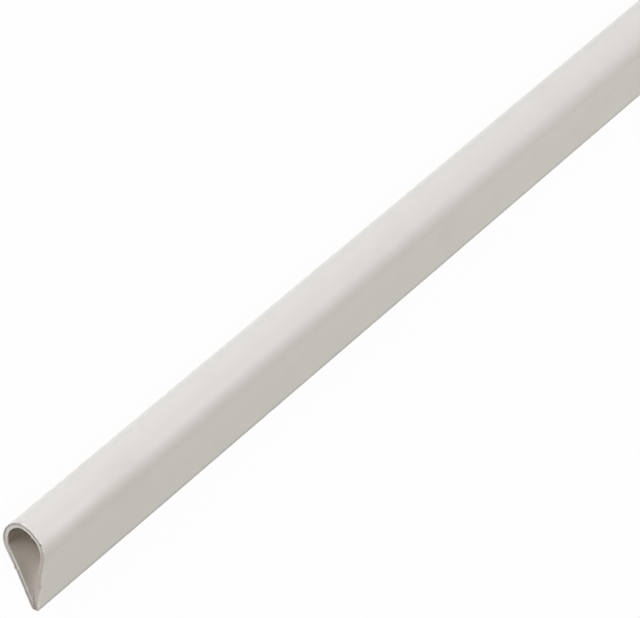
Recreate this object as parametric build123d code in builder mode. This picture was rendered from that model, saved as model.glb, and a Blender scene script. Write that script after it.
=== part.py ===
"""Clamp-on edge profile in white PVC: one extruded length with a drop-shaped hollow section.

The section is drawn upright, with the two lips at its foot and the crown of the head at its top:
x runs across it and y runs up from the square ends of the lips. The length is stored lying on
one flank, as it settles on a level floor, so it touches the floor along one cheek of the head
and along the outer corner of one lip. X runs along the length, and Z is up.
"""
from build123d import *
import os
from math import asin, atan, atan2, cos, degrees, hypot, radians, sin, tan

# Stock length
profile_length = 1000.0

# Head: a pointed round arch on two cheeks
section_height = 15.0
head_width = 7.45
widest_height = 10.65
crown_radius = 2.4
cheek_radius = 3.05

# Legs: straight below the cheeks, with a slight outward bend on the way to the lips
wall = 0.85
leg_lean = 19.6
bend_height = 6.35
bend_radius = 8.0

# Lips: they close on a narrow slot and end square
lip_gap = 0.3
lip_thickness = 0.4
lip_corner_radius = 0.15
throat_radius = 3.0


def leaning_normal(lean):
    """Outward unit normal of a face of the right leg that leans out by this angle in degrees."""
    return Vector(cos(radians(lean)), -sin(radians(lean)))


# Centres of the arcs of the right half. The shoulder is the one arc that leaves the crown
# without a corner and stands upright at the widest point.
half_width = head_width / 2
crown_centre = Vector(0, section_height - crown_radius)
rise = crown_centre.Y - widest_height
shoulder_radius = (half_width**2 + rise**2 - crown_radius**2) / (2 * (half_width - crown_radius))
shoulder_centre = Vector(half_width - shoulder_radius, widest_height)
shoulder_sweep = degrees(atan2(rise, shoulder_radius - half_width))
cheek_centre = Vector(half_width - cheek_radius, widest_height)

# Outer face of the right leg: it leaves the cheek at the leg's lean and bends to the lip
leg_top = cheek_centre + leaning_normal(leg_lean) * cheek_radius
bend = Vector(leg_top.X - (leg_top.Y - bend_height) * tan(radians(leg_lean)), bend_height)
lip_corner = Vector(lip_gap / 2 + lip_thickness, 0)
lip_lean = degrees(atan((bend.X - lip_corner.X) / bend_height))

# Inner face of the right leg: one wall further in, until the lip stands upright at the slot
corner_way = leaning_normal(leg_lean) + leaning_normal(lip_lean)
inner_bend = bend - corner_way * (wall / (1 + cos(radians(leg_lean - lip_lean))))
throat_height = (wall / cos(radians(lip_lean)) - lip_thickness) / tan(radians(lip_lean))
throat = Vector(lip_gap / 2, throat_height)
slot_mouth = Vector(lip_gap / 2, 0)


def head_half(inset):
    """Crown, shoulder and cheek arcs of the right half, drawn this far inside the outer face."""
    CenterArc(crown_centre, crown_radius - inset, 90, shoulder_sweep - 90)
    CenterArc(shoulder_centre, shoulder_radius - inset, shoulder_sweep, -shoulder_sweep)
    cheek = CenterArc(cheek_centre, cheek_radius - inset, 0, -leg_lean)
    return cheek @ 1


# The section: the full drop, less the hollow and the slot below it
with BuildSketch() as section:
    with BuildLine():
        outer_leg_top = head_half(0)
        FilletPolyline(
            outer_leg_top, bend, lip_corner, (0, 0), radius=[bend_radius, lip_corner_radius]
        )
        Line((0, 0), (0, section_height))
    make_face()
    with BuildLine():
        inner_leg_top = head_half(wall)
        FilletPolyline(
            inner_leg_top, inner_bend, throat, slot_mouth, radius=[bend_radius + wall, throat_radius]
        )
        Polyline(slot_mouth, (0, 0), (0, section_height - wall))
    make_face(mode=Mode.SUBTRACT)
    mirror(about=Plane.YZ)

# Lying on the left flank: the floor is the straight line that touches the rounded lip corner
# and the cheek, so the section's axis rises from the floor by the lean of that line.
lip_round_x = lip_corner.X + lip_corner_radius * (tan(radians(lip_lean)) - 1 / cos(radians(lip_lean)))
lip_round = Vector(lip_round_x, lip_corner_radius)
to_cheek = cheek_centre - lip_round
rest_lean = atan(to_cheek.X / to_cheek.Y)
rest_lean += asin((cheek_radius - lip_corner_radius) / hypot(to_cheek.X, to_cheek.Y))
across = Vector(0, sin(rest_lean), cos(rest_lean))

# The same section turned to that lean shows how far it reaches, which places it on the floor,
# with the middle of its footprint at the origin.
with BuildSketch(Plane(origin=(0, 0, 0), x_dir=across, z_dir=(1, 0, 0))) as turned_section:
    add(section.sketch)
reach = turned_section.sketch.bounding_box()
far_end = Vector(-profile_length / 2, -(reach.min.Y + reach.max.Y) / 2, -reach.min.Z)

with BuildPart() as edge_profile:
    with BuildSketch(Plane(origin=far_end, x_dir=across, z_dir=(1, 0, 0))):
        add(section.sketch)
    extrude(amount=profile_length)
edge_profile.part.label = "edge_profile"

os.makedirs("parts", exist_ok=True)
export_step(edge_profile.part, "parts/edge_profile.step")

print(f"section area {section.sketch.area:.2f} mm2, lies {degrees(rest_lean):.2f} degrees from flat")
print(f"shoulder radius {shoulder_radius:.2f}, lip lean {lip_lean:.2f}, throat height {throat_height:.2f}")
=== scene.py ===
"""A length of white PVC clamp-on edge profile, lying on one flank on a pale studio floor.

The section is a hollow drop: a round head, and two legs that close to a narrow slot between two
square lips. The strip is one extruded piece, so it is one mesh here. Geometry Nodes sweep the
section along X as a closed skin, and add the die's shallow waves and the marks of the saw.
Two materials share it: the satin skin that left the die, and the rough face that the saw left.
"""
from math import asin, atan, atan2, cos, hypot, pi, radians, sin, tan

import bpy
from mathutils import Matrix, Vector


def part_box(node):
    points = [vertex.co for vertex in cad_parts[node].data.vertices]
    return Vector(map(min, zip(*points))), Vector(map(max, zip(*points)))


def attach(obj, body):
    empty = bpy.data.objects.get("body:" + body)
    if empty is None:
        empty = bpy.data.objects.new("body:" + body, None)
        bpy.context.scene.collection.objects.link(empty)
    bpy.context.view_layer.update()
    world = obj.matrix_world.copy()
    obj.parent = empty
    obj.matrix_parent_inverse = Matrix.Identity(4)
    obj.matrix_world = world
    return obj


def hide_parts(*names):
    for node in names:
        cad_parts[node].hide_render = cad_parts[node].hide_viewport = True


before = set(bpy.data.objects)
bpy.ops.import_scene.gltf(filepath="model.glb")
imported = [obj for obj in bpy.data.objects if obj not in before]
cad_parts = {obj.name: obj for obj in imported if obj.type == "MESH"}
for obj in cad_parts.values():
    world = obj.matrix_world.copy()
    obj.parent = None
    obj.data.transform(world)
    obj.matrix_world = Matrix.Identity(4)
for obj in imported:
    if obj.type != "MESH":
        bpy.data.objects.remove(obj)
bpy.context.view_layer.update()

MM = 0.001

# The section's sizes, as in the part's drawing: x runs across it, and y runs up from the square
# ends of the lips to the crown of the head.
SECTION_HEIGHT = 15.0 * MM
HEAD_WIDTH = 7.45 * MM
WIDEST_HEIGHT = 10.65 * MM
CROWN_RADIUS = 2.4 * MM
CHEEK_RADIUS = 3.05 * MM
WALL = 0.85 * MM
LEG_LEAN = radians(19.6)
BEND_HEIGHT = 6.35 * MM
BEND_RADIUS = 8.0 * MM
LIP_GAP = 0.3 * MM
LIP_THICKNESS = 0.4 * MM
LIP_CORNER_RADIUS = 0.15 * MM
THROAT_RADIUS = 3.0 * MM

# Points on each stretch of half the outline, from the lip to the crown. The outer and the inner
# face have the same number, so that each point has a partner across the wall.
LIP_END_STEPS = 3
LIP_STEPS = 6
LOWER_LEG_STEPS = 14
BEND_STEPS = 6
UPPER_LEG_STEPS = 10
CHEEK_STEPS = 8
SHOULDER_STEPS = 22
CROWN_STEPS = 9

# The mesh: cross sections along the strip, closer together near its ends, and layers of the
# wall. Edges that turn by more than the sharp angle, in radians, stay sharp.
STATIONS = 250
WALL_LAYERS = 11
SHARP_ANGLE = 1.0

# Where each kind of face lies on the map that the finish is baked through: lowest and highest V.
# A kind's number is the base plus its flat normal times the weights, before the strip is shaped.
MAP_BASE = 3.0
MAP_WEIGHTS = (1.0, 2.0, 3.0)
MAP_ROWS = {
    0: (0.010, 0.480),
    6: (0.495, 0.720),
    4: (0.735, 0.845),
    2: (0.860, 0.935),
    1: (0.950, 0.965),
    5: (0.980, 0.995),
}
MAP_MARGIN = 0.005

# What the die leaves: shallow waves, longer along the strip than round it
WAVE_DEPTH = 0.06 * MM
WAVE_SIZE = 4.0 * MM
WAVE_STRETCH = 3.0

# What the saw leaves: the face lies a little behind its outer edge, where a small burr stands,
# a larger burr hangs into the hollow of the head, and the lips are pinched towards each other.
# The two depths are shares of the wall: where the edge ends, and where the inner burr begins.
# The grain and the two lengths are how large the roughness and the lumps of the burrs are.
CUT_RECESS = 0.04 * MM
CUT_ROUGHNESS = 0.03 * MM
CUT_GRAIN = 0.35 * MM
CUT_REACH = 1.0 * MM
EDGE_DEPTH = 0.22
BURR_FLARE = 0.05 * MM
BURR_LENGTH = 0.9 * MM
BURR_REACH = 0.25 * MM
INNER_BURR = 0.28 * MM
INNER_BURR_LENGTH = 1.3 * MM
INNER_BURR_DEPTH = 0.75
LIP_PINCH = 0.11 * MM

# Single marks of the cut, in millimetres: the end (1 near, -1 far), the place on the section and
# its distance from the end, how far the mark reaches, how far it pushes the wall across the
# section, up it and along the strip, and how dark it is: soil up to 1, and above 1 painted shade
# that turns black, for the shade in the dent on the right shoulder and at the right lip's end
CUT_MARKS = (
    (1, (-2.45, 6.6), 0.0, 0.40, (-0.11, -0.04, 0.0), 0.8),
    (1, (3.22, 12.20), 0.0, 0.34, (-0.09, -0.03, -0.14), 2.0),
    (1, (1.75, 4.5), 0.1, 0.60, (-0.05, 0.01, -0.05), 0.45),
    (1, (0.0, 15.0), 0.1, 0.50, (0.0, 0.03, -0.03), 0.2),
    (1, (-0.6, 0.0), 0.0, 0.50, (0.03, 0.12, 0.0), 1.0),
    (1, (0.35, -0.10), 0.0, 0.45, (0.0, 0.0, 0.0), 1.8),
    (1, (0.60, 0.25), 2.3, 0.50, (0.0, 0.0, 0.0), 1.0),
    (1, (0.60, 0.25), 0.8, 0.40, (0.0, 0.0, 0.0), 0.9),
    (-1, (3.3, 9.4), 0.0, 0.50, (0.10, -0.02, 0.0), 0.5),
    (-1, (-1.0, 14.9), 0.0, 0.55, (0.03, -0.08, -0.10), 0.6),
    (-1, (-1.7, 4.9), 0.0, 0.40, (0.06, 0.02, -0.08), 0.5),
)
MARK_EDGE_GRAIN = 0.35 * MM

# The outline runs from the right lip (0) over the crown (0.5) to the left lip (1). These are
# distances from the crown to either side, as shares of it: over the first the head ends, and
# over the second the lips begin.
CROWN = 0.5
HEAD_ENDS = (0.15, 0.20)
LIPS_BEGIN = (0.445, 0.475)

# Places on the outline: the middle, and how far to either side each is full and has ended
BURR_HANGS_MOST = (0.43, 0.03, 0.09)
BURR_WIDENS = (0.42, 0.05, 0.09)
EDGE_CHIPS_MOST = (0.42, 0.05, 0.10)
EDGE_CHIPS_LEAST = (0.61, 0.05, 0.10)
FACE_CHIPS_MOST = (0.45, 0.02, 0.05)
BAND_DARKEST = (0.40, 0.02, 0.04)
BAND_OUTERMOST = (0.62, 0.03, 0.08)
BAND_FAINTEST = (0.73, 0.02, 0.05)

# Distances from the cut: where the pale chips of the skin's edge end, where the painted shade
# just inside the cut ends, and where the hollow is painted paler, as painted light
CHIPS_END = (0.05 * MM, 0.40 * MM)
CUT_SHADE_ENDS = (0.3 * MM, 2.5 * MM)
HOLLOW_PAINTED_LIGHTER = (2 * MM, 7 * MM)

# Darkening, from 0 for none to 1 for grey: painted shade at the lip corners and just inside the
# cut, soil among the crumbs, and painted shade at the lips' sawn ends
LIP_PAINTED_SHADE = 0.42
CUT_PAINTED_SHADE = 0.14
CRUMB_DIRT = 0.15
SAWN_LIP_PAINTED_SHADE = 0.6

# The photograph's view: a long lens, with the picture turned on its side. It looks at the point
# of the strip that shows in the middle of the picture.
PHOTO_WIDTH = 640
FOCAL_PIXELS = 4447.3
SENSOR_WIDTH = 36.0
CLIP_START = 0.01
CLIP_END = 50.0
VIEW_AZIMUTH = radians(61.96)
VIEW_ELEVATION = radians(42.71)
VIEW_ROLL = radians(-88.02)
VIEW_DISTANCE = 661.3 * MM
AIM_FROM_NEAR_END = 69.72 * MM
AIM_ASIDE = -1.87 * MM
AIM_HEIGHT = 3.7 * MM

# Colours, linear
PVC_WHITE = (0.794, 0.753, 0.715, 1.0)
PVC_DULL = (0.716, 0.670, 0.620, 1.0)
# The hollow's colours are painted light: paler than the skin, and palest towards the lips
PVC_INSIDE_PAINTED_LIGHT = (0.830, 0.769, 0.687, 1.0)
PVC_THROAT_PAINTED_LIGHT = (0.890, 0.835, 0.790, 1.0)
# Paler than the skin: whitening by the saw, and a painted highlight along the cut edge of the skin
PVC_WHITENED_AND_HIGHLIGHT = (0.960, 0.925, 0.890, 1.0)
SAWN_PALE = (0.728, 0.690, 0.636, 1.0)
SAWN_DULL = (0.560, 0.508, 0.460, 1.0)
# Grey for soil, and for painted shade at the lip corners, in the slot, inside the cut, beside the
# sawn edge and at the lips' sawn ends
GRIME_AND_SHADE_GREY = (0.284, 0.252, 0.220, 1.0)
# Near black: painted shade of the burr in the head and of the darkest marks of the saw
PAINTED_SHADE_BLACK = (0.042, 0.034, 0.026, 1.0)
FLOOR_WHITE = (0.95, 0.95, 0.95, 1.0)
FULL_WHITE = (1.0, 1.0, 1.0, 1.0)

# Surfaces: refraction, roughness where nothing adds to it, and how high the fine relief stands
PVC_IOR = 1.53
SKIN_ROUGHNESS = 0.38
SAWN_ROUGHNESS = 0.55
FLOOR_ROUGHNESS = 0.9
RIPPLE_HEIGHT = 0.024 * MM
DIE_LINE_HEIGHT = 0.018 * MM
FINE_LINE_HEIGHT = 0.003 * MM
SCRATCH_HEIGHT = 0.02 * MM
CRUMB_HEIGHT = 0.02 * MM

# Lamps: azimuth and elevation that the light comes from, distance, size across, power, colour
LAMPS = {
    "key": (50, 12, 2.0, 1.0, 21.1, (1.00, 1.00, 1.00)),
    "side": (20, 25, 2.0, 0.6, 4.0, (0.55, 0.80, 1.00)),
    "overhead": (180, 75, 2.0, 0.6, 14.3, (1.00, 0.98, 0.90)),
    "overhead_rear": (-90, 75, 2.0, 0.6, 11.3, (0.99, 0.94, 1.00)),
    "far": (180, 12, 2.0, 0.6, 3.2, (0.75, 1.00, 0.95)),
    "far_end": (-90, 10, 1.1, 0.3, 1.2, (1.00, 1.00, 1.00)),
}
FLOOR_SIZE = 8.0
FLOOR_GLOW = 0.965


def polar(azimuth, elevation):
    """Unit vector towards this azimuth and elevation. Azimuth 0 is the -Y side, and 90 is +X."""
    level = cos(elevation)
    return Vector((sin(azimuth) * level, -cos(azimuth) * level, sin(elevation)))


def look_from(thing, place, target, roll=0.0):
    """Stands a camera or a lamp at a place, aimed at a target and rolled about its own axis."""
    forward = (target - place).normalized()
    side = forward.cross(Vector((0, 0, 1))).normalized()
    up = side.cross(forward) * cos(roll) + side * sin(roll)
    turn = Matrix((forward.cross(up), up, -forward)).transposed()
    thing.rotation_euler = turn.to_euler()
    thing.location = place


def add_object(name, data):
    thing = bpy.data.objects.new(name, data)
    bpy.context.scene.collection.objects.link(thing)
    return thing


def make_camera():
    data = bpy.data.cameras.new("photo_camera")
    data.sensor_fit = "HORIZONTAL"
    data.sensor_width = SENSOR_WIDTH
    data.lens = FOCAL_PIXELS * SENSOR_WIDTH / PHOTO_WIDTH
    data.clip_start = CLIP_START
    data.clip_end = CLIP_END
    camera = add_object("photo_camera", data)
    near_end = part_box("edge_profile")[1].x
    target = Vector((near_end - AIM_FROM_NEAR_END, AIM_ASIDE, AIM_HEIGHT))
    place = target + polar(VIEW_AZIMUTH, VIEW_ELEVATION) * VIEW_DISTANCE
    look_from(camera, place, target, VIEW_ROLL)
    bpy.context.scene.camera = camera


# The section's outline


def leaning_normal(lean):
    """Outward unit normal of a face of the right leg that leans out by this angle."""
    return Vector((cos(lean), -sin(lean)))


def straight(start, end, steps):
    """Points along a line, without the last one."""
    return [start.lerp(end, i / steps) for i in range(steps)]


def arc(centre, radius, start, end, steps):
    """Points round an arc between two directions, without the last one."""
    turns = [start + (end - start) * i / steps for i in range(steps)]
    return [centre + radius * Vector((cos(turn), sin(turn))) for turn in turns]


def rounded_corner(before, corner, after, radius, steps):
    """Points of the arc that rounds a corner between two lines, with its last one."""
    back, ahead = (before - corner).normalized(), (after - corner).normalized()
    half = back.angle(ahead) / 2
    centre = corner + (back + ahead).normalized() * (radius / sin(half))
    first = corner + back * (radius / tan(half)) - centre
    last = corner + ahead * (radius / tan(half)) - centre
    start = atan2(first.y, first.x)
    sweep = atan2(first.x * last.y - first.y * last.x, first.dot(last))
    return arc(centre, radius, start, start + sweep, steps) + [centre + last]


def cheek_centre():
    return Vector((HEAD_WIDTH / 2 - CHEEK_RADIUS, WIDEST_HEIGHT))


def right_half(inset):
    """Right half of the outline, from its lip to the crown, set into the wall by inset."""
    half_width = HEAD_WIDTH / 2
    crown_centre = Vector((0, SECTION_HEIGHT - CROWN_RADIUS))
    rise = crown_centre.y - WIDEST_HEIGHT
    reach = half_width - CROWN_RADIUS
    shoulder_radius = (half_width**2 + rise**2 - CROWN_RADIUS**2) / (2 * reach)
    shoulder_centre = Vector((half_width - shoulder_radius, WIDEST_HEIGHT))
    shoulder_sweep = atan2(rise, shoulder_radius - half_width)

    leg_way = leaning_normal(LEG_LEAN)
    leg_top = cheek_centre() + leg_way * CHEEK_RADIUS
    bend = Vector((leg_top.x - (leg_top.y - BEND_HEIGHT) * tan(LEG_LEAN), BEND_HEIGHT))
    lip_corner = Vector((LIP_GAP / 2 + LIP_THICKNESS, 0))
    lip_lean = atan((bend.x - lip_corner.x) / BEND_HEIGHT)
    slot_mouth = Vector((LIP_GAP / 2, 0))
    if inset:
        # Inside, the lip stands upright at the slot up to the throat
        start = slot_mouth
        foot = slot_mouth + Vector((0, (inset / cos(lip_lean) - LIP_THICKNESS) / tan(lip_lean)))
        foot_radius, bend_radius = THROAT_RADIUS, BEND_RADIUS + inset
        corner_way = leg_way + leaning_normal(lip_lean)
        bend = bend - corner_way * (inset / (1 + cos(LEG_LEAN - lip_lean)))
        leg_top = leg_top - leg_way * inset
    else:
        # Outside, the outline starts halfway across the lip's square end
        start = slot_mouth.lerp(lip_corner, 0.5)
        foot = lip_corner
        foot_radius, bend_radius = LIP_CORNER_RADIUS, BEND_RADIUS

    foot_arc = rounded_corner(start, foot, bend, foot_radius, LIP_STEPS)
    bend_arc = rounded_corner(foot, bend, leg_top, bend_radius, BEND_STEPS)
    points = straight(start, foot_arc[0], LIP_END_STEPS) + foot_arc[:-1]
    points += straight(foot_arc[-1], bend_arc[0], LOWER_LEG_STEPS) + bend_arc[:-1]
    points += straight(bend_arc[-1], leg_top, UPPER_LEG_STEPS)
    points += arc(cheek_centre(), CHEEK_RADIUS - inset, -LEG_LEAN, 0, CHEEK_STEPS)
    points += arc(shoulder_centre, shoulder_radius - inset, 0, shoulder_sweep, SHOULDER_STEPS)
    points += arc(crown_centre, CROWN_RADIUS - inset, shoulder_sweep, pi / 2, CROWN_STEPS)
    return points + [Vector((0, SECTION_HEIGHT - inset))]


def outline(inset):
    """The whole outline, from the right lip over the crown to the left lip."""
    right = right_half(inset)
    return right + [Vector((-p.x, p.y)) for p in reversed(right[:-1])]


def lying_lean():
    """Lean of the straight line that touches the lip's round corner and the cheek: the floor."""
    lip_round = right_half(0)[LIP_END_STEPS] + Vector((0, LIP_CORNER_RADIUS))
    to_cheek = cheek_centre() - lip_round
    lean = atan(to_cheek.x / to_cheek.y)
    return lean + asin((CHEEK_RADIUS - LIP_CORNER_RADIUS) / hypot(to_cheek.x, to_cheek.y))


def section_ways():
    """The ways across the section and up it, as the strip lies."""
    lean = lying_lean()
    return Vector((0, sin(lean), cos(lean))), Vector((0, -cos(lean), sin(lean)))


def placing():
    """Turns points of the section to the strip's lean, and stands them on the floor."""
    across, upwards = section_ways()
    skin = [across * p.x + upwards * p.y for p in outline(0)]
    middle = (min(p.y for p in skin) + max(p.y for p in skin)) / 2
    origin = Vector((0, -middle, -min(p.z for p in skin)))
    return lambda p: origin + across * p.x + upwards * p.y


# Helpers for node trees


def add_node(tree, kind, inputs=None, **settings):
    """Adds a node with its settings, and links or sets its inputs by name or number."""
    node = tree.nodes.new(kind)
    for name, value in settings.items():
        setattr(node, name, value)
    for name, value in (inputs or {}).items():
        if isinstance(value, bpy.types.NodeSocket):
            tree.links.new(value, node.inputs[name])
        else:
            node.inputs[name].default_value = value
    return node


def new_group(name, kind, inputs, outputs):
    """A node group with named inputs, each with its kind and default value, and named outputs.
    It gives the group, and the values that come in through its inputs."""
    tree = bpy.data.node_groups.new(name, kind)
    for label, (socket_kind, value) in inputs.items():
        socket = tree.interface.new_socket(name=label, in_out="INPUT", socket_type=socket_kind)
        if value is not None:
            socket.default_value = value
    for label, socket_kind in outputs.items():
        tree.interface.new_socket(name=label, in_out="OUTPUT", socket_type=socket_kind)
    return tree, add_node(tree, "NodeGroupInput").outputs


def calc(tree, operation, *values):
    """One step of arithmetic on numbers."""
    inputs = dict(enumerate(values))
    return add_node(tree, "ShaderNodeMath", inputs, operation=operation).outputs[0]


def product(tree, first, *others):
    """Numbers multiplied together, in this order."""
    for other in others:
        first = calc(tree, "MULTIPLY", first, other)
    return first


def largest(tree, first, *others):
    """The largest of these numbers."""
    for other in others:
        first = calc(tree, "MAXIMUM", first, other)
    return first


def add_where(tree, value, mask, amount):
    """Adds an amount to a value where a mask is 1, and none of it where the mask is 0."""
    return calc(tree, "MULTIPLY_ADD", mask, amount, value)


def off_from(tree, value, middle):
    """How far a value is from a middle, to either side."""
    return calc(tree, "ABSOLUTE", calc(tree, "SUBTRACT", value, middle))


def vector_calc(tree, operation, *values):
    """One step of arithmetic on vectors."""
    inputs = dict(enumerate(values))
    return add_node(tree, "ShaderNodeVectorMath", inputs, operation=operation).outputs["Vector"]


def dot(tree, one, other):
    node = add_node(tree, "ShaderNodeVectorMath", {0: one, 1: other}, operation="DOT_PRODUCT")
    return node.outputs["Value"]


def scale(tree, vector, factor):
    node = add_node(tree, "ShaderNodeVectorMath", {0: vector, "Scale": factor}, operation="SCALE")
    return node.outputs["Vector"]


def split(tree, vector):
    return add_node(tree, "ShaderNodeSeparateXYZ", {0: vector}).outputs


def combine(tree, x=0.0, y=0.0, z=0.0):
    return add_node(tree, "ShaderNodeCombineXYZ", {0: x, 1: y, 2: z}).outputs[0]


def blend(tree, low, high, share):
    """A number that goes from low to high as share goes from 0 to 1."""
    inputs = {0: share, 2: low, 3: high}
    return add_node(tree, "ShaderNodeMix", inputs, data_type="FLOAT").outputs[0]


def mix_colour(tree, one, other, share):
    """A colour that goes from one to the other as share goes from 0 to 1."""
    inputs = {0: share, 6: one, 7: other}
    return add_node(tree, "ShaderNodeMix", inputs, data_type="RGBA").outputs[2]


def ramp(tree, value, start, end, low=0.0, high=1.0):
    """Runs smoothly from low to high while the value goes from start to end."""
    inputs = {0: value, 1: start, 2: end, 3: low, 4: high}
    return add_node(tree, "ShaderNodeMapRange", inputs, interpolation_type="SMOOTHSTEP").outputs[0]


def noise(tree, vector, size, detail=2.0, seed=0.0):
    """Noise from 0 to 1 with features of about this size."""
    inputs = {"Vector": vector, "W": seed, "Scale": calc(tree, "DIVIDE", 1.0, size), "Detail": detail}
    return add_node(tree, "ShaderNodeTexNoise", inputs, noise_dimensions="4D").outputs[0]


def in_head(tree, around):
    """1 on the head, 0 on the legs."""
    return ramp(tree, off_from(tree, around, CROWN), *HEAD_ENDS, 1.0, 0.0)


def near_place(tree, around, place):
    """1 at a place on the outline, to 0 at its reach on either side."""
    middle, full, reach = place
    return ramp(tree, off_from(tree, around, middle), full, reach, 1.0, 0.0)


def mark_share(tree, point, mark):
    """1 at the middle of a mark of the saw, 0 beyond its reach. It works in every kind of tree."""
    end, (across, up), inwards, reach = mark[:4]
    spot = placing()(Vector((across, up)) * MM)
    spot.x = end * (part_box("edge_profile")[1].x - inwards * MM)
    away = add_node(tree, "ShaderNodeVectorMath", {0: point, 1: spot}, operation="DISTANCE")
    return ramp(tree, away.outputs["Value"], 0.0, reach * MM, 1.0, 0.0)


# The strip


def store(tree, geometry, name, value, kind="FLOAT", domain="POINT"):
    """Keeps a value on the mesh under a name, and gives the mesh and the kept value."""
    inputs = {"Geometry": geometry, "Name": name, "Value": value}
    settings = {"data_type": kind, "domain": domain}
    mesh = add_node(tree, "GeometryNodeStoreNamedAttribute", inputs, **settings)
    read_kind = "FLOAT_VECTOR" if kind == "FLOAT2" else kind
    read = add_node(tree, "GeometryNodeInputNamedAttribute", {"Name": name}, data_type=read_kind)
    return mesh.outputs["Geometry"], read.outputs["Attribute"]


def sample_section(tree, section, index):
    """Position of one point of the section."""
    position = add_node(tree, "GeometryNodeInputPosition").outputs[0]
    inputs = {"Geometry": section, "Value": position, "Index": index}
    settings = {"data_type": "FLOAT_VECTOR", "domain": "POINT"}
    return add_node(tree, "GeometryNodeSampleIndex", inputs, **settings).outputs["Value"]


def map_rows(tree, face_way):
    """Lowest and highest V of a face on the bake map, as the X and Y of a vector."""
    kind = calc(tree, "ROUND", calc(tree, "ADD", dot(tree, face_way, MAP_WEIGHTS), MAP_BASE))
    rows = add_node(tree, "GeometryNodeIndexSwitch", data_type="VECTOR")
    while len(rows.index_switch_items) <= max(MAP_ROWS):
        rows.index_switch_items.new()
    tree.links.new(kind, rows.inputs["Index"])
    for number, (low, high) in MAP_ROWS.items():
        rows.inputs[1 + number].default_value = (low, high, 0.0)
    return split(tree, rows.outputs[0])


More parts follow.
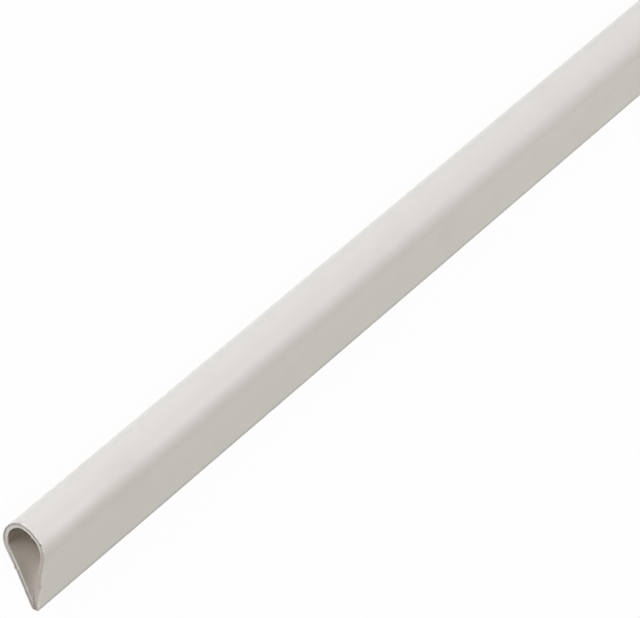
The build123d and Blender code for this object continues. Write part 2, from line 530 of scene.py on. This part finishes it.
def strip_tree():
    """Sweeps the section along X into one closed skin: a box of stations, outline points and
    wall layers is shaped into the strip, so every face and corner keeps its neighbours."""
    inputs = {
        "Section": ("NodeSocketGeometry", None),
        "Length": ("NodeSocketFloat", 1.0),
        "Stations": ("NodeSocketInt", STATIONS),
        "Wall Layers": ("NodeSocketInt", WALL_LAYERS),
        "Wave Depth": ("NodeSocketFloat", WAVE_DEPTH),
        "Wave Size": ("NodeSocketFloat", WAVE_SIZE),
        "Cut Recess": ("NodeSocketFloat", CUT_RECESS),
        "Cut Roughness": ("NodeSocketFloat", CUT_ROUGHNESS),
        "Burr Flare": ("NodeSocketFloat", BURR_FLARE),
        "Inner Burr": ("NodeSocketFloat", INNER_BURR),
        "Lip Pinch": ("NodeSocketFloat", LIP_PINCH),
        "Seed": ("NodeSocketFloat", 1.0),
        "Skin": ("NodeSocketMaterial", None),
        "Sawn Face": ("NodeSocketMaterial", None),
    }
    outputs = {"Strip": "NodeSocketGeometry"}
    tree, given = new_group("extruded strip", "GeometryNodeTree", inputs, outputs)

    # The box, and the place of each of its points: along the strip from -1 to 1, around the
    # outline from 0 to 1, and down through the wall from 0 to 1
    sized = add_node(tree, "GeometryNodeAttributeDomainSize", {"Geometry": given["Section"]})
    outline_points = calc(tree, "DIVIDE", sized.outputs["Point Count"], 2.0)
    counts = {"Vertices X": given["Stations"], "Vertices Y": outline_points}
    counts["Vertices Z"] = given["Wall Layers"]
    mesh = add_node(tree, "GeometryNodeMeshCube", counts).outputs["Mesh"]
    place = split(tree, add_node(tree, "GeometryNodeInputPosition").outputs[0])
    mesh, along = store(tree, mesh, "along", calc(tree, "MULTIPLY", place["X"], 2.0))
    mesh, around = store(tree, mesh, "around", calc(tree, "ADD", place["Y"], 0.5))
    mesh, depth = store(tree, mesh, "depth", ramp(tree, place["Z"], -0.5, 0.5))
    normal = add_node(tree, "GeometryNodeInputNormal").outputs[0]
    mesh, face_way = store(tree, mesh, "face_way", normal, "FLOAT_VECTOR", "FACE")

    # The box's own edges stay sharp, and all its faces are shaded smooth
    edge_angle = add_node(tree, "GeometryNodeInputMeshEdgeAngle").outputs["Unsigned Angle"]
    box_edge = calc(tree, "GREATER_THAN", edge_angle, SHARP_ANGLE)
    smooth = {"Geometry": mesh, "Shade Smooth": True}
    mesh = add_node(tree, "GeometryNodeSetShadeSmooth", smooth, domain="FACE").outputs[0]
    sharp = {"Geometry": mesh, "Selection": box_edge, "Shade Smooth": False}
    mesh = add_node(tree, "GeometryNodeSetShadeSmooth", sharp, domain="EDGE").outputs[0]

    # The bake map: skins in long rows, and each cut end in a row of its own
    is_end, _, is_skin = split(tree, vector_calc(tree, "ABSOLUTE", face_way))
    row = map_rows(tree, face_way)
    along_share = calc(tree, "MULTIPLY_ADD", along, 0.5, 0.5)
    u_share = blend(tree, along_share, around, is_end)
    v_share = blend(tree, depth, around, is_skin)
    u = calc(tree, "MULTIPLY_ADD", u_share, 1.0 - 2 * MAP_MARGIN, MAP_MARGIN)
    v = blend(tree, row["X"], row["Y"], v_share)
    mesh, _ = store(tree, mesh, "OFBake", combine(tree, u, v), "FLOAT2", "CORNER")

    # Across the strip: from the outer outline through the wall to the inner one
    last = calc(tree, "SUBTRACT", outline_points, 1.0)
    index = calc(tree, "ROUND", calc(tree, "MULTIPLY", around, last))
    outer = sample_section(tree, given["Section"], index)
    inner = sample_section(tree, given["Section"], calc(tree, "ADD", index, outline_points))
    into_wall = vector_calc(tree, "SUBTRACT", inner, outer)
    outward = scale(tree, vector_calc(tree, "NORMALIZE", into_wall), -1.0)
    point = vector_calc(tree, "ADD", outer, scale(tree, into_wall, depth))

    # Along the strip: stations close together at the ends
    half_length = calc(tree, "DIVIDE", given["Length"], 2.0)
    side = calc(tree, "SIGN", along)
    to_end = calc(tree, "SUBTRACT", 1.0, calc(tree, "ABSOLUTE", along))
    from_end = product(tree, to_end, to_end, half_length)
    mesh, from_end = store(tree, mesh, "from_end", from_end)
    x = calc(tree, "MULTIPLY", side, calc(tree, "SUBTRACT", half_length, from_end))
    point = vector_calc(tree, "ADD", point, combine(tree, x))

    # The die's waves dip into the skin only, so that the strip keeps its size
    stretched = vector_calc(tree, "MULTIPLY", point, (1 / WAVE_STRETCH, 1.0, 1.0))
    wave = noise(tree, stretched, given["Wave Size"], 2.0, given["Seed"])
    deepest = calc(tree, "MULTIPLY", given["Wave Depth"], -1.0)
    outwards = product(tree, wave, deepest, calc(tree, "SUBTRACT", 1.0, depth))

    # The saw flares a small burr out along the outer edge
    at_cut = ramp(tree, from_end, 0.0, CUT_REACH, 1.0, 0.0)
    at_end = ramp(tree, from_end, 0.0, BURR_REACH, 1.0, 0.0)
    at_edge = ramp(tree, depth, 0.0, EDGE_DEPTH, 1.0, 0.0)
    burr_way = noise(tree, point, BURR_LENGTH, 3.0, given["Seed"])
    burr = calc(tree, "MULTIPLY", ramp(tree, burr_way, 0.4, 0.75), given["Burr Flare"])
    outwards = add_where(tree, outwards, calc(tree, "MULTIPLY", at_edge, at_end), burr)

    # A larger burr hangs into the hollow of the head, furthest at the right shoulder
    at_inside = ramp(tree, depth, INNER_BURR_DEPTH, 1.0)
    at_inside = product(tree, at_inside, in_head(tree, around), at_end)
    lumps = noise(tree, point, INNER_BURR_LENGTH, 1.0, calc(tree, "ADD", given["Seed"], 3.0))
    hanging = ramp(tree, lumps, 0.3, 0.7, 0.6, 1.0)
    hanging = add_where(tree, hanging, near_place(tree, around, BURR_HANGS_MOST), 0.4)
    hanging = calc(tree, "MULTIPLY", hanging, given["Inner Burr"])
    outwards = calc(tree, "SUBTRACT", outwards, calc(tree, "MULTIPLY", at_inside, hanging))

    # The sawn face is rough, and lies behind the outer edge
    roughness = noise(tree, point, CUT_GRAIN, 3.0, calc(tree, "ADD", given["Seed"], 7.0))
    sunk = calc(tree, "MULTIPLY", given["Cut Recess"], calc(tree, "SUBTRACT", 1.0, at_edge))
    sunk = add_where(tree, sunk, roughness, given["Cut Roughness"])
    endwards = product(tree, sunk, at_cut, -1.0)

    # The lips' inner faces come closer to each other at the cut
    across, upwards = section_ways()
    at_lips = ramp(tree, off_from(tree, around, CROWN), *LIPS_BEGIN)
    left_or_right = calc(tree, "SIGN", calc(tree, "SUBTRACT", around, CROWN))
    pinch = product(tree, at_lips, at_cut, depth, given["Lip Pinch"], left_or_right)
    offset = vector_calc(tree, "ADD", scale(tree, outward, outwards), scale(tree, across, pinch))
    offset = vector_calc(tree, "ADD", offset, combine(tree, calc(tree, "MULTIPLY", side, endwards)))

    # Single nicks and kinks of the cut edge
    for mark in CUT_MARKS:
        push_across, push_up, push_along = Vector(mark[4]) * MM
        push = across * push_across + upwards * push_up + Vector((mark[0] * push_along, 0, 0))
        offset = vector_calc(tree, "ADD", offset, scale(tree, push, mark_share(tree, point, mark)))

    # No burr goes below the floor
    x, y, z = split(tree, vector_calc(tree, "ADD", point, offset))
    point = combine(tree, x, y, calc(tree, "MAXIMUM", z, 0.0))
    mesh = add_node(tree, "GeometryNodeSetPosition", {"Geometry": mesh, "Position": point}).outputs[0]
    mesh = add_node(tree, "GeometryNodeRealizeInstances", {"Geometry": mesh}).outputs[0]
    skin = {"Geometry": mesh, "Material": given["Skin"]}
    mesh = add_node(tree, "GeometryNodeSetMaterial", skin).outputs[0]
    sawn = {"Geometry": mesh, "Material": given["Sawn Face"], "Selection": is_end}
    mesh = add_node(tree, "GeometryNodeSetMaterial", sawn).outputs[0]
    add_node(tree, "NodeGroupOutput", {"Strip": mesh})
    return tree


def make_strip(skin, sawn_face):
    """The strip as a plain mesh, swept from the outline's points."""
    stand = placing()
    points = [stand(p) for p in outline(0) + outline(WALL)]
    section = bpy.data.meshes.new("section")
    section.from_pydata(points, [], [])
    swept = add_object("swept_section", section)
    tree = strip_tree()
    modifier = swept.modifiers.new("sweep", "NODES")
    modifier.node_group = tree
    low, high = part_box("edge_profile")
    values = {"Length": high.x - low.x, "Skin": skin, "Sawn Face": sawn_face}
    sockets = {socket.name: socket.identifier for socket in tree.interface.items_tree}
    for name, value in values.items():
        modifier[sockets[name]] = value

    drawn = bpy.context.evaluated_depsgraph_get()
    mesh = bpy.data.meshes.new_from_object(swept.evaluated_get(drawn))
    bpy.data.objects.remove(swept)
    mesh.name = "edge_profile_strip"
    strip = add_object("edge_profile_strip", mesh)
    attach(strip, "root")
    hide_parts("edge_profile")


# Effects that both materials use


def streaks_group():
    """Fine parallel lines along X, such as the die's lines and the saw's scratches."""
    inputs = {
        "Vector": ("NodeSocketVector", None),
        "Line Length": ("NodeSocketFloat", 0.1),
        "Line Pitch": ("NodeSocketFloat", 0.0005),
    }
    tree, given = new_group("streaks", "ShaderNodeTree", inputs, {"Height": "NodeSocketFloat"})
    squeeze = calc(tree, "DIVIDE", given["Line Pitch"], given["Line Length"])
    squeezed = vector_calc(tree, "MULTIPLY", given["Vector"], combine(tree, squeeze, 1.0, 1.0))
    add_node(tree, "NodeGroupOutput", {"Height": noise(tree, squeezed, given["Line Pitch"])})


def soiling_group():
    """Soft-edged patches of dust and handling, which cover about a given share."""
    inputs = {
        "Vector": ("NodeSocketVector", None),
        "Patch Size": ("NodeSocketFloat", 0.01),
        "Cover": ("NodeSocketFloat", 0.5),
        "Seed": ("NodeSocketFloat", 0.0),
    }
    tree, given = new_group("soiling", "ShaderNodeTree", inputs, {"Mask": "NodeSocketFloat"})
    cloud = noise(tree, given["Vector"], given["Patch Size"], 5.0, given["Seed"])
    start = calc(tree, "SUBTRACT", 0.75, calc(tree, "MULTIPLY", given["Cover"], 0.5))
    mask = ramp(tree, cloud, start, calc(tree, "ADD", start, 0.25))
    add_node(tree, "NodeGroupOutput", {"Mask": mask})


def mark_soil_and_shade_group():
    """Soil in the saw's marks, and painted shade where a mark's value passes 1, with ragged outlines.
    """
    inputs = {"Vector": ("NodeSocketVector", None), "Raggedness": ("NodeSocketFloat", 0.0003)}
    outputs = {"Mask": "NodeSocketFloat"}
    tree, given = new_group("dirt in saw marks", "ShaderNodeTree", inputs, outputs)
    ragged = {"Vector": given["Vector"], "Scale": 1 / MARK_EDGE_GRAIN, "Detail": 2.0}
    ragged = add_node(tree, "ShaderNodeTexNoise", ragged).outputs["Color"]
    ragged = scale(tree, vector_calc(tree, "SUBTRACT", ragged, (0.5, 0.5, 0.5)), given["Raggedness"])
    place = vector_calc(tree, "ADD", given["Vector"], ragged)
    shares = [product(tree, mark_share(tree, place, mark), mark[5]) for mark in CUT_MARKS]
    add_node(tree, "NodeGroupOutput", {"Mask": largest(tree, 0.0, *shares)})


def pale_chips_group():
    """Pale chips: whitening by the saw, and on the skin's edge also a painted highlight. Where Extra
    is higher, they cover more.
    """
    inputs = {
        "Vector": ("NodeSocketVector", None),
        "Chip Size": ("NodeSocketFloat", 0.0008),
        "Extra": ("NodeSocketFloat", 0.0),
        "Start": ("NodeSocketFloat", 0.50),
        "End": ("NodeSocketFloat", 0.65),
        "Seed": ("NodeSocketFloat", 0.0),
    }
    outputs = {"Mask": "NodeSocketFloat"}
    tree, given = new_group("pale chips", "ShaderNodeTree", inputs, outputs)
    chips = noise(tree, given["Vector"], given["Chip Size"], 2.0, given["Seed"])
    chips = calc(tree, "ADD", chips, given["Extra"])
    add_node(tree, "NodeGroupOutput", {"Mask": ramp(tree, chips, given["Start"], given["End"])})


def soil_and_shade_group():
    """Darkens a colour: towards grey, for soil and painted shade, as the darkening goes up to 1, and
    on towards black, as painted shade, from 1 to 2.
    """
    inputs = {
        "Clean": ("NodeSocketColor", PVC_WHITE),
        "Grey": ("NodeSocketColor", GRIME_AND_SHADE_GREY),
        "Black": ("NodeSocketColor", PAINTED_SHADE_BLACK),
        "Dirt": ("NodeSocketFloat", 0.0),
    }
    outputs = {"Colour": "NodeSocketColor"}
    tree, given = new_group("soil and painted shade", "ShaderNodeTree", inputs, outputs)
    colour = mix_colour(tree, given["Clean"], given["Grey"], given["Dirt"])
    black = calc(tree, "SUBTRACT", given["Dirt"], 1.0)
    add_node(tree, "NodeGroupOutput", {"Colour": mix_colour(tree, colour, given["Black"], black)})


# Materials


def use_group(tree, name, **inputs):
    """Places a shader group with its own values, and gives its output."""
    named = {key.replace("_", " ").title(): value for key, value in inputs.items()}
    group = bpy.data.node_groups[name]
    return add_node(tree, "ShaderNodeGroup", named, node_tree=group).outputs[0]


def new_material(name):
    """A material with its Principled shader, and the object's own coordinates."""
    material = bpy.data.materials.new(name)
    material.use_nodes = True
    tree = material.node_tree
    place = add_node(tree, "ShaderNodeTexCoord").outputs["Object"]
    return material, tree, tree.nodes["Principled BSDF"], place


def attribute(tree, name):
    return add_node(tree, "ShaderNodeAttribute", attribute_name=name).outputs["Fac"]


def bump(tree, height, distance, normal=None):
    node = add_node(tree, "ShaderNodeBump", {"Height": height, "Distance": distance})
    if normal:
        tree.links.new(normal, node.inputs["Normal"])
    return node.outputs["Normal"]


def skin_material():
    """White PVC as it leaves the die: satin, with faint lines along it, and cut edges that are
    whitened and carry a painted highlight. Painted light pales the hollow, and painted shade darkens
    the lip corners, the slot, the inside of the cut and the saw's darkest marks.
    """
    material, tree, shader, place = new_material("extruded_pvc")
    die_lines = use_group(tree, "streaks", vector=place, line_length=0.25, line_pitch=0.9 * MM)
    ripples = use_group(tree, "streaks", vector=place, line_length=6 * MM, line_pitch=2.2 * MM)
    fine_lines = use_group(tree, "streaks", vector=place, line_length=0.02, line_pitch=0.22 * MM)
    handling = use_group(tree, "soiling", vector=place, patch_size=9 * MM, cover=0.5, seed=2.0)
    smudges = use_group(tree, "soiling", vector=place, patch_size=3 * MM, cover=0.5, seed=6.0)
    speckle = use_group(tree, "soiling", vector=place, patch_size=0.8 * MM, cover=0.2, seed=5.0)

    grubby = calc(tree, "MULTIPLY", handling, 0.25)
    grubby = add_where(tree, grubby, smudges, 0.25)
    grubby = add_where(tree, grubby, speckle, 0.30)
    colour = mix_colour(tree, PVC_WHITE, PVC_DULL, grubby)

    # Inside, the skin is painted paler and yellower than outside, as painted light for the lit
    # hollow, and paler still towards the lips and away from the cut, also as painted light
    around = attribute(tree, "around")
    from_crown = off_from(tree, around, CROWN)
    from_end = attribute(tree, "from_end")
    near_lips = ramp(tree, from_crown, 0.33, 0.43)
    away_from_cut = ramp(tree, from_end, *HOLLOW_PAINTED_LIGHTER, 0.0, 0.6)
    hollow = mix_colour(tree, PVC_INSIDE_PAINTED_LIGHT, PVC_THROAT_PAINTED_LIGHT, largest(tree, near_lips, away_from_cut))
    inside = ramp(tree, attribute(tree, "depth"), 0.4, 1.0)
    colour = mix_colour(tree, colour, hollow, inside)

    # Pale chips along the skin's edge at the cut, most of all over the right shoulder: whitening by
    # the saw, and a painted highlight where the burr's edge catches the light
    extra = calc(tree, "MULTIPLY", near_place(tree, around, EDGE_CHIPS_MOST), 0.07)
    extra = add_where(tree, extra, near_place(tree, around, EDGE_CHIPS_LEAST), -0.06)
    chip = {"chip_size": 0.7 * MM, "start": 0.50, "end": 0.64, "seed": 4.0}
    chips = use_group(tree, "pale chips", vector=place, extra=extra, **chip)
    near_cut = ramp(tree, from_end, *CHIPS_END, 1.0, 0.0)
    colour = mix_colour(tree, colour, PVC_WHITENED_AND_HIGHLIGHT, calc(tree, "MULTIPLY", chips, near_cut))

    # Painted shade runs along the corner of each lip, at the two ends of the outline, and into the
    # slot, for the shade under the lips and in the narrow gap. The saw's marks hold soil, and painted
    # shade where they are darkest.
    at_lip = add_where(tree, from_crown, speckle, 0.01)
    at_lip = ramp(tree, add_where(tree, at_lip, inside, -0.014), 0.430, 0.4425)
    lip_shade = calc(tree, "MULTIPLY", at_lip, LIP_PAINTED_SHADE)
    in_marks = use_group(tree, "dirt in saw marks", vector=place, raggedness=0.6 * MM)

    # Painted shade darkens the inner face just inside the cut, on the left leg
    left_leg = ramp(tree, around, 0.76, 0.82)
    cut_shade = ramp(tree, from_end, *CUT_SHADE_ENDS, CUT_PAINTED_SHADE, 0.0)
    cut_shade = product(tree, inside, left_leg, cut_shade)
    dirt = largest(tree, lip_shade, in_marks, cut_shade)
    colour = use_group(tree, "soil and painted shade", clean=colour, dirt=dirt)
    tree.links.new(colour, shader.inputs["Base Color"])

    roughness = add_where(tree, SKIN_ROUGHNESS, handling, 0.08)
    roughness = add_where(tree, roughness, fine_lines, 0.06)
    tree.links.new(roughness, shader.inputs["Roughness"])
    normal = bump(tree, ripples, RIPPLE_HEIGHT)
    normal = bump(tree, die_lines, DIE_LINE_HEIGHT, normal)
    normal = bump(tree, fine_lines, FINE_LINE_HEIGHT, normal)
    tree.links.new(normal, shader.inputs["Normal"])
    shader.inputs["IOR"].default_value = PVC_IOR
    return material


def sawn_material():
    """The sawn end: rough and matt, pale inside, with soil and painted shade along the outer half of
    the wall, and the burr in the head painted dark as painted shade.
    """
    material, tree, shader, place = new_material("sawn_pvc")
    turned = split(tree, place)
    saw_way = combine(tree, turned["Z"], turned["Y"], turned["X"])
    scratches = use_group(tree, "streaks", vector=saw_way, line_length=3 * MM, line_pitch=0.12 * MM)
    crumbs = use_group(tree, "soiling", vector=place, patch_size=0.5 * MM, cover=0.5, seed=3.0)
    grime = use_group(tree, "soiling", vector=place, patch_size=2.5 * MM, cover=0.6, seed=8.0)

    # The face is dull down the right leg, but for the outer half of the lip, and near the left
    # lip, a little dull on the left cheek, and pale on the rest of the head
    around = attribute(tree, "around")
    wall_depth = attribute(tree, "depth")
    right_leg = ramp(tree, around, 0.29, 0.37, 1.0, 0.0)
    near_left_lip = ramp(tree, around, 0.82, 0.94, 0.0, 0.8)
    left_cheek = near_place(tree, around, BAND_FAINTEST)
    dull = add_where(tree, largest(tree, right_leg, near_left_lip), left_cheek, 0.20)
    near_right_lip = ramp(tree, around, 0.08, 0.12, 0.8, 0.0)
    outer_half = ramp(tree, wall_depth, 0.3, 0.55, 1.0, 0.0)
    dull = calc(tree, "SUBTRACT", dull, calc(tree, "MULTIPLY", near_right_lip, outer_half))
    colour = mix_colour(tree, SAWN_PALE, SAWN_DULL, dull)

    # The saw whitens patches of the inner half: most beside the crown, more down the left leg than
    # round the head, and none down the right leg
    beside_crown = near_place(tree, around, FACE_CHIPS_MOST)
    extra = add_where(tree, ramp(tree, around, 0.74, 0.79, 0.0, 0.08), beside_crown, 0.17)
    chip = {"chip_size": 0.9 * MM, "start": 0.48, "end": 0.66, "seed": 11.0}
    chips = use_group(tree, "pale chips", vector=place, extra=extra, **chip)
    strength = add_where(tree, 0.5, beside_crown, 0.4)
    inner_half = ramp(tree, wall_depth, 0.45, 0.65)
    towards_burr = ramp(tree, wall_depth, 0.75, 0.95, 1.0, 0.3)
    elsewhere = calc(tree, "SUBTRACT", 1.0, right_leg)
    chips = product(tree, chips, strength, inner_half, towards_burr, elsewhere)
    colour = mix_colour(tree, colour, PVC_WHITENED_AND_HIGHLIGHT, chips)

    # A dark band of soil and painted shade lies inside the outer edge, for the shade beside the
    # edge's burr, furthest in over the crown and the right shoulder and nearest to the edge over the
    # left one. It is faint at the left cheek and down the right leg.
    depth = add_where(tree, wall_depth, crumbs, -0.06)
    left_shoulder = near_place(tree, around, BAND_OUTERMOST)
    band_middle = ramp(tree, around, 0.50, 0.60, 0.43, 0.36)
    band_middle = add_where(tree, band_middle, left_shoulder, -0.16)
    band = ramp(tree, off_from(tree, depth, band_middle), 0.05, 0.20, 1.0, 0.0)
    strength = ramp(tree, around, 0.54, 0.60, 0.78, 0.66)
    strength = calc(tree, "ADD", strength, ramp(tree, around, 0.76, 0.80, 0.0, 0.14))
    strength = add_where(tree, strength, grime, 0.30)
    strength = add_where(tree, strength, left_cheek, -0.60)
    strength = add_where(tree, strength, near_place(tree, around, BAND_DARKEST), 0.30)
    strength = add_where(tree, strength, left_shoulder, 0.06)
    strength = calc(tree, "MULTIPLY", strength, add_where(tree, 1.0, right_leg, -0.75))

    # Soil also lies among the crumbs. Painted shade darkens the lips' sawn ends, and the saw's
    # marks hold soil, and painted shade where they are darkest.
    banded = calc(tree, "MULTIPLY", band, strength)
    in_crumbs = calc(tree, "MULTIPLY", crumbs, CRUMB_DIRT)
    at_lips = ramp(tree, off_from(tree, around, CROWN), *LIPS_BEGIN, 0.0, SAWN_LIP_PAINTED_SHADE)
    in_marks = use_group(tree, "dirt in saw marks", vector=place, raggedness=0.4 * MM)
    dirt = largest(tree, banded, in_crumbs, at_lips, in_marks)
    colour = use_group(tree, "soil and painted shade", clean=colour, dirt=dirt)

    # The burr that hangs into the head is painted near black, as painted shade for the burr in
    # shadow. It is wider to the left of the crown, and a little wider at the right shoulder than
    # beside it.
    burr_start = ramp(tree, around, 0.54, 0.58, 0.865, 0.82)
    burr_start = add_where(tree, burr_start, near_place(tree, around, BURR_WIDENS), -0.03)
    burr_end = calc(tree, "ADD", burr_start, 0.06)
    hanging = calc(tree, "MULTIPLY", ramp(tree, depth, burr_start, burr_end), in_head(tree, around))
    colour = mix_colour(tree, colour, PAINTED_SHADE_BLACK, hanging)
    tree.links.new(colour, shader.inputs["Base Color"])

    roughness = add_where(tree, SAWN_ROUGHNESS, scratches, 0.15)
    tree.links.new(roughness, shader.inputs["Roughness"])
    normal = bump(tree, scratches, SCRATCH_HEIGHT)
    normal = bump(tree, crumbs, CRUMB_HEIGHT, normal)
    tree.links.new(normal, shader.inputs["Normal"])
    shader.inputs["IOR"].default_value = PVC_IOR
    return material


# Floor, lamps and world


def seen_directly(tree):
    """1 for camera, glossy and transmission rays, which see the white background."""
    rays = add_node(tree, "ShaderNodeLightPath").outputs
    return largest(tree, rays["Is Camera Ray"], rays["Is Glossy Ray"], rays["Is Transmission Ray"])


def make_floor():
    """A white floor that keeps a faint shadow of the strip."""
    half = FLOOR_SIZE / 2
    mesh = bpy.data.meshes.new("studio_floor")
    corners = [(-half, -half, 0), (half, -half, 0), (half, half, 0), (-half, half, 0)]
    mesh.from_pydata(corners, [], [(0, 1, 2, 3)])
    material = bpy.data.materials.new("studio_floor")
    material.use_nodes = True
    tree = material.node_tree
    shader = tree.nodes["Principled BSDF"]
    shader.inputs["Base Color"].default_value = FLOOR_WHITE
    shader.inputs["Roughness"].default_value = FLOOR_ROUGHNESS
    shader.inputs["Specular IOR Level"].default_value = 0.0
    glow = add_node(tree, "ShaderNodeEmission", {"Color": FULL_WHITE, "Strength": 1.0})
    share = calc(tree, "MULTIPLY", seen_directly(tree), FLOOR_GLOW)
    inputs = {0: share, 1: shader.outputs[0], 2: glow.outputs[0]}
    white = add_node(tree, "ShaderNodeMixShader", inputs).outputs[0]
    tree.links.new(white, tree.nodes["Material Output"].inputs["Surface"])
    mesh.materials.append(material)
    add_object("studio_floor", mesh)


def make_world():
    """A world that is white to look at and lights nothing."""
    world = bpy.data.worlds.new("studio_world")
    world.use_nodes = True
    tree = world.node_tree
    background = tree.nodes["Background"]
    background.inputs["Color"].default_value = FULL_WHITE
    tree.links.new(seen_directly(tree), background.inputs["Strength"])
    bpy.context.scene.world = world


def make_lamps():
    for name, (azimuth, elevation, distance, size, power, colour) in LAMPS.items():
        data = bpy.data.lights.new(name + "_lamp", "AREA")
        data.shape = "DISK"
        data.size = size
        data.energy = power
        data.color = colour
        lamp = add_object(name + "_lamp", data)
        place = polar(radians(azimuth), radians(elevation)) * distance
        look_from(lamp, place, Vector((0, 0, 0)))


make_camera()
streaks_group()
soiling_group()
mark_soil_and_shade_group()
pale_chips_group()
soil_and_shade_group()
make_strip(skin_material(), sawn_material())
make_floor()
make_world()
make_lamps()
bpy.context.scene.view_settings.view_transform = "Standard"
